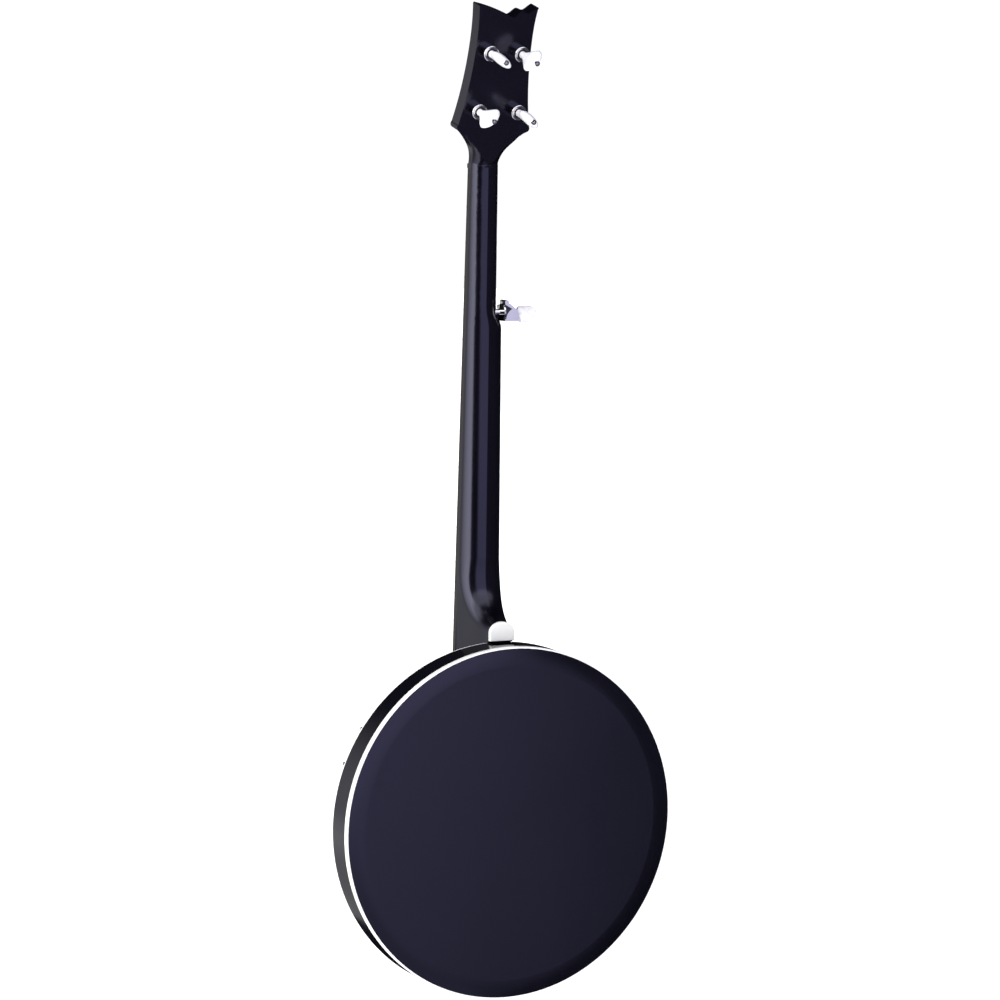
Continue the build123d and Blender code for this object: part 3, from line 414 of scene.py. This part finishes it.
FLAKES = 300.0
pearloid = pearl(
    "pearloid", (0.78, 0.775, 0.80), (0.70, 0.69, 0.74), (0.85, 0.85, 0.86), FLAKES, 0.2
)
shell_pearl = pearl(
    "marker_pearl", (0.72, 0.78, 0.78), (0.52, 0.62, 0.66), (0.95, 0.93, 0.88), FLAKES, 0.16
)
dress(pearloid, "fifth_tuner_button", *[f"tuner_{n}_button" for n in TUNERS])
dress(shell_pearl, "position_markers")


# %% [markdown]
# ## The woods
# The fingerboard is dark, open-grained wood, and so is the veneer on the front of the peghead, which
# is polished. Grain is noise drawn out along the piece: long in the direction of the fibres and short
# across it.


# %% Wood
def wood(name, dark, light, stretch, gloss, pore, scale=60.0, over=None):
    """Grain in two colours with dark pores. over(timber) may give a share and a colour to lay on top."""
    timber = Finish(name, IOR=1.45)
    along = timber.stretched(*stretch)
    bands = timber.noise(scale, 3.0, 0.55, at=along)
    pores = timber.noise(scale * 9.0, 2.0, 0.6, at=along)
    fine = pores.step(0.52, 0.68)
    tone = timber.colours(bands, (0.3, dark), (0.7, light))
    grain = timber.mixed(fine * 0.45, tone, [c * 0.35 for c in dark])
    if over:
        share, colour = over(timber)
        grain = timber.mixed(share, grain, colour)
    timber.paint(Base_Color=grain, Roughness=gloss + 0.12 * fine)
    timber.bump(1.0 - fine, pore)
    return timber


UP_THE_NECK = (1.0, 1.0, 0.06)
fingerboard_wood = wood(
    "fingerboard_wood", (0.007, 0.0055, 0.005), (0.016, 0.012, 0.010), UP_THE_NECK, 0.42, 3e-5
)
veneer_wood = wood(
    "peghead_veneer", (0.005, 0.0045, 0.006), (0.010, 0.009, 0.011), UP_THE_NECK, 0.22, 1e-6
)
dress(fingerboard_wood, "fingerboard")
dress(veneer_wood, "peghead_veneer")

# %% [markdown]
# ## The bridge and the rim
# The bridge is maple with a strip of ebony glued along its top, and the rim is three bent plies of
# maple with a thin dark glue line between them. Both are marks inside the wood and not shapes on it,
# so the finish draws them: the strip by its height, the glue lines by their distance from the middle.

# %% Bridge and rim
EBONY = (0.012, 0.009, 0.008)
GLUE = (0.10, 0.055, 0.025)
CAP_HEIGHT, PLY, GLUE_HALF = 2.2 * MM, 6.4 * MM, 0.12 * MM
RIM_STEP = 1.8 * MM  # from the rim's widest place in to the wall with the plies
SOFT_EDGE = 0.05 * MM
bridge_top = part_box("bridge")[0].y
rim_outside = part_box("rim")[1].x - RIM_STEP


def ebony_strip(timber):
    """All of the wood nearer the strings than the strip's lower side."""
    return (bridge_top + CAP_HEIGHT - timber.y).step(-SOFT_EDGE, SOFT_EDGE), EBONY


def glue_lines(timber):
    """Two rings, one ply and two plies in from the rim's outside."""
    radius = (timber.x * timber.x + timber.z * timber.z) ** 0.5
    first = (radius - (rim_outside - PLY)).size()
    second = (radius - (rim_outside - 2 * PLY)).size()
    return 1.0 - first.least(second).step(GLUE_HALF, 2.5 * GLUE_HALF), GLUE


ACROSS, ROUND = (0.08, 1.0, 1.0), (0.3, 1.0, 0.3)
maple = wood(
    "maple", (0.50, 0.34, 0.19), (0.66, 0.48, 0.29), ACROSS, 0.40, 8e-6, 90.0, ebony_strip
)
rim_maple = wood(
    "rim_maple", (0.42, 0.27, 0.14), (0.60, 0.42, 0.24), ROUND, 0.36, 8e-6, 70.0, glue_lines
)
dress(maple, "bridge")
dress(rim_maple, "rim")
print("bridge top at y mm", round(bridge_top / MM, 1), "rim mm", round(rim_outside / MM, 1))

# %% [markdown]
# ## The drum head
# The head is a film of polyester with a rough white coating, which is what a player's fingertips feel.
# The coating is sprayed, so it is a little thicker and whiter in some places than in others.

# %% Drum head
head = Finish("drum_head_film", IOR=1.5)
grit = head.noise(900.0, 2.0)
cloudy = head.noise(14.0, 3.0)
head.paint(
    Base_Color=head.colours(cloudy, (0.3, (0.78, 0.77, 0.73)), (0.7, (0.86, 0.85, 0.82))),
    Roughness=0.5 + 0.15 * (grit - 0.5),
)
head.bump(grit, 1.5e-5)
dress(head, "drum_head")

# %% [markdown]
# ## Added pieces as grids of points
# The small added pieces are all made one way: a row of closed rings of points, each ring joined to the
# next. numpy works out every ring at once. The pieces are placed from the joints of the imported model,
# which give each tuner's place and its axis exactly.


# %% Rings into a mesh
SHARP_FROM = math.radians(40.0)


def skin(name, rings, finish, body, loop=False):
    """Joins rings of points, an array of shape (rings, points, 3), into a closed mesh. With loop the
    last ring joins the first; without it each end is closed by a flat face."""
    count, around = rings.shape[:2]
    ring = np.arange(count if loop else count - 1)[:, None]
    point = np.arange(around)[None, :]
    after, beside = (ring + 1) % count * around, (point + 1) % around
    here = ring * around
    quads = np.stack([here + point, here + beside, after + beside, after + point], axis=-1)
    faces = quads.reshape(-1, 4).tolist()
    if not loop:
        last = (count - 1) * around
        faces += [list(range(around))[::-1], list(range(last, last + around))]
    mesh = bpy.data.meshes.new(name)
    mesh.from_pydata(rings.reshape(-1, 3).tolist(), [], faces)
    mesh.calc_loop_triangles()
    spots = rings.reshape(-1, 3) - rings.reshape(-1, 3).mean(axis=0)
    triangles = np.empty(3 * len(mesh.loop_triangles), dtype=np.int32)
    mesh.loop_triangles.foreach_get("vertices", triangles)
    corners = spots[triangles.reshape(-1, 3)]
    spans = np.cross(corners[:, 1], corners[:, 2])
    volume = np.einsum("ij,ij->i", corners[:, 0], spans).sum() / 6
    if volume < 0:
        mesh.flip_normals()
    mesh.shade_smooth()
    mesh.set_sharp_from_angle(angle=SHARP_FROM)
    mesh.materials.append(finish.material)
    piece = bpy.data.objects.new(name, mesh)
    bpy.context.scene.collection.objects.link(piece)
    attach(piece, body)
    print(name, len(faces), "faces,", round(abs(volume) / MM**3, 2), "mm3")
    return piece


joints = {joint["name"]: joint for joint in frame["joints"]}


def bench_at(joint_name, towards):
    """Origin and three axes at a joint: x across the neck, z along the joint's axis times towards."""
    origin = np.array(joints[joint_name]["pos_m"])
    up = np.array(joints[joint_name]["axis"]) * towards
    side = np.array((1.0, 0.0, 0.0))
    return origin, np.stack([side, np.cross(up, side), up])


def set_down(points, place):
    """Carries points written in millimetres at a place into the frame, in metres."""
    origin, axes = place
    return origin + points @ axes * MM


# %% [markdown]
# ## String wound on the posts
# Each string ends in a few turns round its post, which is what holds it. A turn is a circle that
# climbs: the angle grows steadily, the height drops by a little over one wire's thickness a turn, and
# the radius eases in from where the string arrives to the waist of the post.


# %% Windings
RINGS_A_TURN, TUBE_SIDES = 28, 10
PITCH, FADE, CLEAR = 2.15, 2.0, 0.02


def winding(waist, wire, reach, height, start, hand, turns):
    """A tube along a helix. At angle t past the start, its centre is at the waist's radius plus the
    wire's, plus what is left of the reach, which fades as exp(-2t); its height falls 2.15 wire radii a
    turn. Round each centre the tube is cos(s) outwards plus sin(s) along the post."""
    t = np.linspace(0.0, 2 * np.pi * turns, int(RINGS_A_TURN * turns))[:, None]
    s = np.linspace(0.0, 2 * np.pi, TUBE_SIDES, endpoint=False)[None, :]
    settled = waist + wire + CLEAR
    radius = settled + (reach - settled) * np.exp(-FADE * t) + wire * np.cos(s)
    angle = start + hand * t + 0.0 * s
    drop = height - PITCH * wire * t / (2 * np.pi) + wire * np.sin(s)
    return np.stack([radius * np.cos(angle), radius * np.sin(angle), drop], axis=-1)


PEGHEAD_T = 16.2
POST_WAIST, ARRIVES, TURNS = 2.3, 2.75, 3.4
FIRST_TURN, EVEN_HIGHER = 11.0, 0.9  # above the peghead's front; more on posts 2 and 4
WIRES = {1: 0.13, 2: 0.15, 3: 0.20, 4: 0.29}
for n, wire in WIRES.items():
    start, hand = (np.pi, -1) if n in (1, 2) else (0.0, 1)
    height = PEGHEAD_T + FIRST_TURN + EVEN_HIGHER * ((n - 1) % 2)
    turns = winding(POST_WAIST, wire, ARRIVES, height, start, hand, TURNS)
    coil = set_down(turns, bench_at(f"tuner_{n}_turn", -1))
    wire_finish = wound if n == 4 else string_steel
    skin(f"string_{n}_winding", coil, wire_finish, f"tuner_{n}_post")

FIFTH_WAIST, FIFTH_WIRE, FIFTH_ARRIVES, FIFTH_HEIGHT = 1.9, 0.13, 2.24, 13.2
FIFTH_START, FIFTH_TURNS = math.radians(-10.0), 4.4
turns = winding(
    FIFTH_WAIST, FIFTH_WIRE, FIFTH_ARRIVES, FIFTH_HEIGHT, FIFTH_START, 1, FIFTH_TURNS
)
coil = set_down(turns, bench_at("fifth_wind", 1))
skin("string_5_winding", coil, string_steel, "fifth_post")

# %% [markdown]
# ## Egg-shaped tuner buttons
# A tuner button is a smooth paddle that the fingers can grip: round where it meets the case, wide and
# flat further out, and rounded off at its end. Rings of ellipses along the shaft give it one skin. It
# stands for the plainer solid of the CAD model, which stays in the physics.


# %% Buttons
COLLAR, HALF_WIDE, HALF_THICK = 3.5, 11.8, 4.7
GROWS_FROM, GROWS_OVER, ROUNDS_FROM = 0.12, 0.60, 0.66
BUTTON_START, BUTTON_LENGTH = -9.0, 33.6


def paddle(turned_by, steps=40, sides=72):
    """Ellipses along the shaft. At share u of the length, the half width grows from the collar's 3.5 to
    11.8 and the half thickness from 3.5 to 4.7, both by a smooth S. Up to u = 0.66 they keep that size;
    past it both shrink along a quarter of an ellipse, the thickness a little later than the width.
    Each ring is turned by the button's rest angle."""
    u = np.sin(np.linspace(0.0, np.pi / 2, steps))[:, None]
    a = np.linspace(0.0, 2 * np.pi, sides, endpoint=False)[None, :]
    rise = np.clip((u - GROWS_FROM) / GROWS_OVER, 0.0, 1.0)
    grow = rise * rise * (3.0 - 2.0 * rise)
    past = np.maximum(u - ROUNDS_FROM, 0.0) / (1.0 - ROUNDS_FROM)
    ending = np.sqrt(np.maximum(1.0 - past**2, 0.0004))
    wide = (COLLAR + (HALF_WIDE - COLLAR) * grow) * ending
    thick = (COLLAR + (HALF_THICK - COLLAR) * grow) * ending**0.8
    x, y = wide * np.cos(a), thick * np.sin(a)
    turn = math.radians(turned_by)
    along = BUTTON_START - BUTTON_LENGTH * u + 0.0 * a
    turned_x = x * math.cos(turn) - y * math.sin(turn)
    turned_y = x * math.sin(turn) + y * math.cos(turn)
    return np.stack([turned_x, turned_y, along], axis=-1)


REST_TURNS = {1: 134.0, 2: 36.0, 3: 125.0, 4: 40.0}
for n, rest in REST_TURNS.items():
    shape = set_down(paddle(rest), bench_at(f"tuner_{n}_turn", -1))
    button = skin(f"tuner_{n}_egg_button", shape, pearloid, f"tuner_{n}_key")
    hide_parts(f"tuner_{n}_button")

# %% [markdown]
# ## Painted shade in the tuners' wells
# A black disc of painted shade sits in the well of each tuner's case, round the shaft. It is what makes
# the middle of each chrome case look dark.


# %% Tuner painted shade discs
def turned_ring(profile, sides=48):
    """A profile of radius and height carried round the axis: x = r cos(a), y = r sin(a), z = h."""
    a = np.linspace(0.0, 2 * np.pi, sides, endpoint=False)[:, None]
    radius, height = np.array(profile).T[:, None, :]
    return np.stack([radius * np.cos(a), radius * np.sin(a), height + 0.0 * a], axis=-1)


# A black material for painted shade, used for these discs and for the fifth tuner's plate below.
shade_black = plastic("black_nylon", (0.010, 0.010, 0.012), 0.38, 0.12)
FLAT_SIDE = [(2.45, -7.33), (5.35, -7.33), (5.44, -7.5)]
DOMED_SIDE = [(5.30, -7.75), (3.6, -8.1), (2.7, -8.12), (2.48, -7.9)]
# Each disc's black is painted shade in the well of its case.
for n in TUNERS:
    shade_disc = set_down(turned_ring(FLAT_SIDE + DOMED_SIDE), bench_at(f"tuner_{n}_turn", -1))
    skin(f"tuner_{n}_washer", shade_disc, shade_black, "frame", loop=True)

# %% [markdown]
# ## Painted shade in the fifth tuner's case
# The fifth tuner's case is open at the back, and a thin black plate, painted shade, lies at the bottom
# of the opening. Its left end follows the round cover of the worm, then the sloping roof.

# %% Painted shade plate
FLOOR_Z, PLATE_T, RIGHT, GAP = -3.8, 0.35, 5.8, 0.2
LOWEST, HIGHEST = -4.4, 10.2
ROOF_Y, ROOF_X, ROOF_SLOPE = 5.7, -2.6, 8.6 / 4.9
cover = np.polyfit((ROOF_Y, 1.6, -4.6), (ROOF_X, 1.8, 3.8), 2)
row = np.linspace(LOWEST, HIGHEST, 36)
roof = ROOF_X + (row - ROOF_Y) * ROOF_SLOPE
left = GAP + np.where(row < ROOF_Y, np.polyval(cover, row), roof)
rim_path = np.array([(0, 0), (1, 0), (1, 1), (0, 1)])
plate_x = left[:, None] + (RIGHT - left[:, None]) * rim_path[:, 0]
plate_z = FLOOR_Z - GAP * 0.25 - PLATE_T * rim_path[:, 1] + 0.0 * left[:, None]
axle = joints["fifth_turn"]["pos_m"][2] - joints["fifth_wind"]["pos_m"][2]
plate_y = row[:, None] + axle / MM + 0.0 * plate_x
shade_plate = set_down(np.stack([plate_x, plate_y, plate_z], axis=-1), bench_at("fifth_wind", 1))
# The plate's black is painted shade in the open case.
skin("fifth_dust_plate", shade_plate, shade_black, "frame")

# %% [markdown]
# ## Screws in the truss rod's cover
# Three small screws hold the bell-shaped cover. Each head is a low dome with a crossed slot, and the
# simplest way to get both is a height over a round grid: the dome, less the depth of the slots.


# %% Cover screws
def screw_head(radius, rise, sides=56, steps=14):
    """Rings of a dome: at radius r the height is rise times 1 - (r/R)^2, less the slots' depth where
    |x| or |y| is under the slot's half width and r is under two thirds of R. A last ring goes down."""
    a = np.linspace(0.0, 2 * np.pi, sides, endpoint=False)[None, :]
    r = np.append(np.linspace(0.02, 1.0, steps), 1.0)[:, None] * radius
    x, y = r * np.cos(a), r * np.sin(a)
    half, reach, depth = 0.16 * radius, 0.66 * radius, 0.55 * rise
    edge, foot = 0.25, -0.3
    slotted = (np.minimum(np.abs(x), np.abs(y)) < half) & (r < reach)
    z = edge + rise * (1.0 - (r / radius) ** 2) - depth * slotted
    z[-1] = foot
    return np.stack([x, y, z], axis=-1)


SCREW_RADIUS, SCREW_RISE = 1.75, 0.75
SCREW_SPOTS = ((0.0, -23.4), (-8.0, -43.6), (8.0, -43.6))  # from the middle of the tuners
COVER_TOP = PEGHEAD_T + 1.6
head_shape = screw_head(SCREW_RADIUS, SCREW_RISE)
origin, axes = bench_at("tuner_1_turn", -1)
middle = (origin + np.array(joints["tuner_4_turn"]["pos_m"])) / 2
for number, (dx, dy) in enumerate(SCREW_SPOTS, 1):
    spot = set_down(head_shape + (dx, dy, COVER_TOP), (middle, axes))
    skin(f"cover_screw_{number}", spot, chrome, "frame")

# %% [markdown]
# ## The studio
# The instrument stands on a white sweep. Black lacquer shows almost nothing but what it mirrors, so
# the studio is designed as a set of reflections. The world is painted with them by compass angle,
# which keeps their edges the same all along a metre of neck:
#
# - `key`, a tall bright panel at the neck's treble side, fading slowly away from the camera;
# - `fill`, a dim violet panel on the other side, which the resonator's flat back mirrors;
# - `wall`, the pale wall behind, and `low_wall`, its lower part, for the resonator's side;
# - `softbox`, high up, which lights the upper faces;
# - `ground` and `overhead`, which darken the other panels below and far above the horizon.
#
# The camera itself sees plain white, by the light path's camera ray.

# %% Studio world
world = bpy.data.worlds.new("studio")
world.use_nodes = True
bpy.context.scene.world = world
sky = world.node_tree
toward = Wire(sky, node(sky, "ShaderNodeTexCoord").outputs["Generated"])
direction = node(sky, "ShaderNodeSeparateXYZ", Vector=toward)
east, north, height = (Wire(sky, direction.outputs[k]) for k in "XYZ")
compass = east.angle_from(north) * (180.0 / math.pi)


def panel(start, end, soft_start, soft_end):
    """1 between two compass angles, in degrees from +Y towards +X, fading over the soft widths."""
    return compass.step(start, start + soft_start) * (1.0 - compass.step(end - soft_end, end))


def light(strength, colour):
    """A Background shader of this strength and colour."""
    made = sky.nodes.new("ShaderNodeBackground")
    made.inputs["Color"].default_value = (*colour, 1.0)
    connect(sky, made.inputs["Strength"], strength)
    return made.outputs["Background"]


WHITE, VIOLET = (0.985, 0.98, 1.0), (0.72, 0.70, 1.0)
BACKDROP, AMBIENT = 1.05, 0.02

key = 5.2 * panel(49.0, 145.0, 5.0, 90.0)
fill = 1.3 * panel(-30.0, 21.0, 7.5, 5.0) + 0.10 * panel(-110.0, 21.0, 60.0, 5.0)
wall = 0.72 * panel(118.0, 170.0, 20.0, 24.0) * (1.0 - 0.60 * height.step(0.10, 0.50))
low_wall = panel(130.0, 181.0, 20.0, 1.0) * (0.0 - height).step(0.08, 0.30)
between = height.step(0.42, 0.55) * (1.0 - height.step(0.85, 0.97))
softbox = 1.7 * panel(-75.0, 125.0, 30.0, 30.0) * between
ground = 1.0 - 0.60 * (0.0 - height).step(0.10, 0.34)
overhead = 1.0 - 0.85 * height.step(0.40, 0.80)
seen = Wire(sky, node(sky, "ShaderNodeLightPath").outputs["Is Camera Ray"])
hidden = 1.0 - seen
panels = (key + wall + low_wall) * ground * overhead + softbox
white_light = light(BACKDROP * seen + panels * hidden, WHITE)
violet_light = light((fill + AMBIENT) * ground * overhead * hidden, VIOLET)
together = sky.nodes.new("ShaderNodeAddShader")
sky.links.new(white_light, together.inputs[0])
sky.links.new(violet_light, together.inputs[1])
sky.links.new(together.outputs[0], sky.nodes["World Output"].inputs["Surface"])
print("world nodes", len(sky.nodes))

# %% [markdown]
# ## The floor
# A sheet of white paper lies just under the instrument. It glows a little, so that it stays as pale as
# the backdrop, and the lacquer does not mirror it.

# %% Floor
FLOOR_HALF = 12.0
floor_z = cad_low.z - 0.5 * MM
around = ((-1, -1), (1, -1), (1, 1), (-1, 1))
corners = [(sx * FLOOR_HALF, sy * FLOOR_HALF, floor_z) for sx, sy in around]
floor_mesh = bpy.data.meshes.new("studio_floor")
floor_mesh.from_pydata(corners, [], [(0, 1, 2, 3)])
floor = bpy.data.objects.new("studio_floor", floor_mesh)
bpy.context.scene.collection.objects.link(floor)
paper = Finish("floor_paper", Roughness=0.9)
fibres = paper.noise(30.0)
paper.paint(Base_Color=paper.colours(fibres, (0.3, (0.90, 0.90, 0.91)), (0.7, (0.93, 0.93, 0.94))))
paper.shader.inputs["Emission Color"].default_value = (1.0, 1.0, 1.0, 1.0)
paper.shader.inputs["Emission Strength"].default_value = 0.95
floor_mesh.materials.append(paper.material)
floor.visible_glossy = False
print("floor at z mm", round(floor_z / MM, 1))
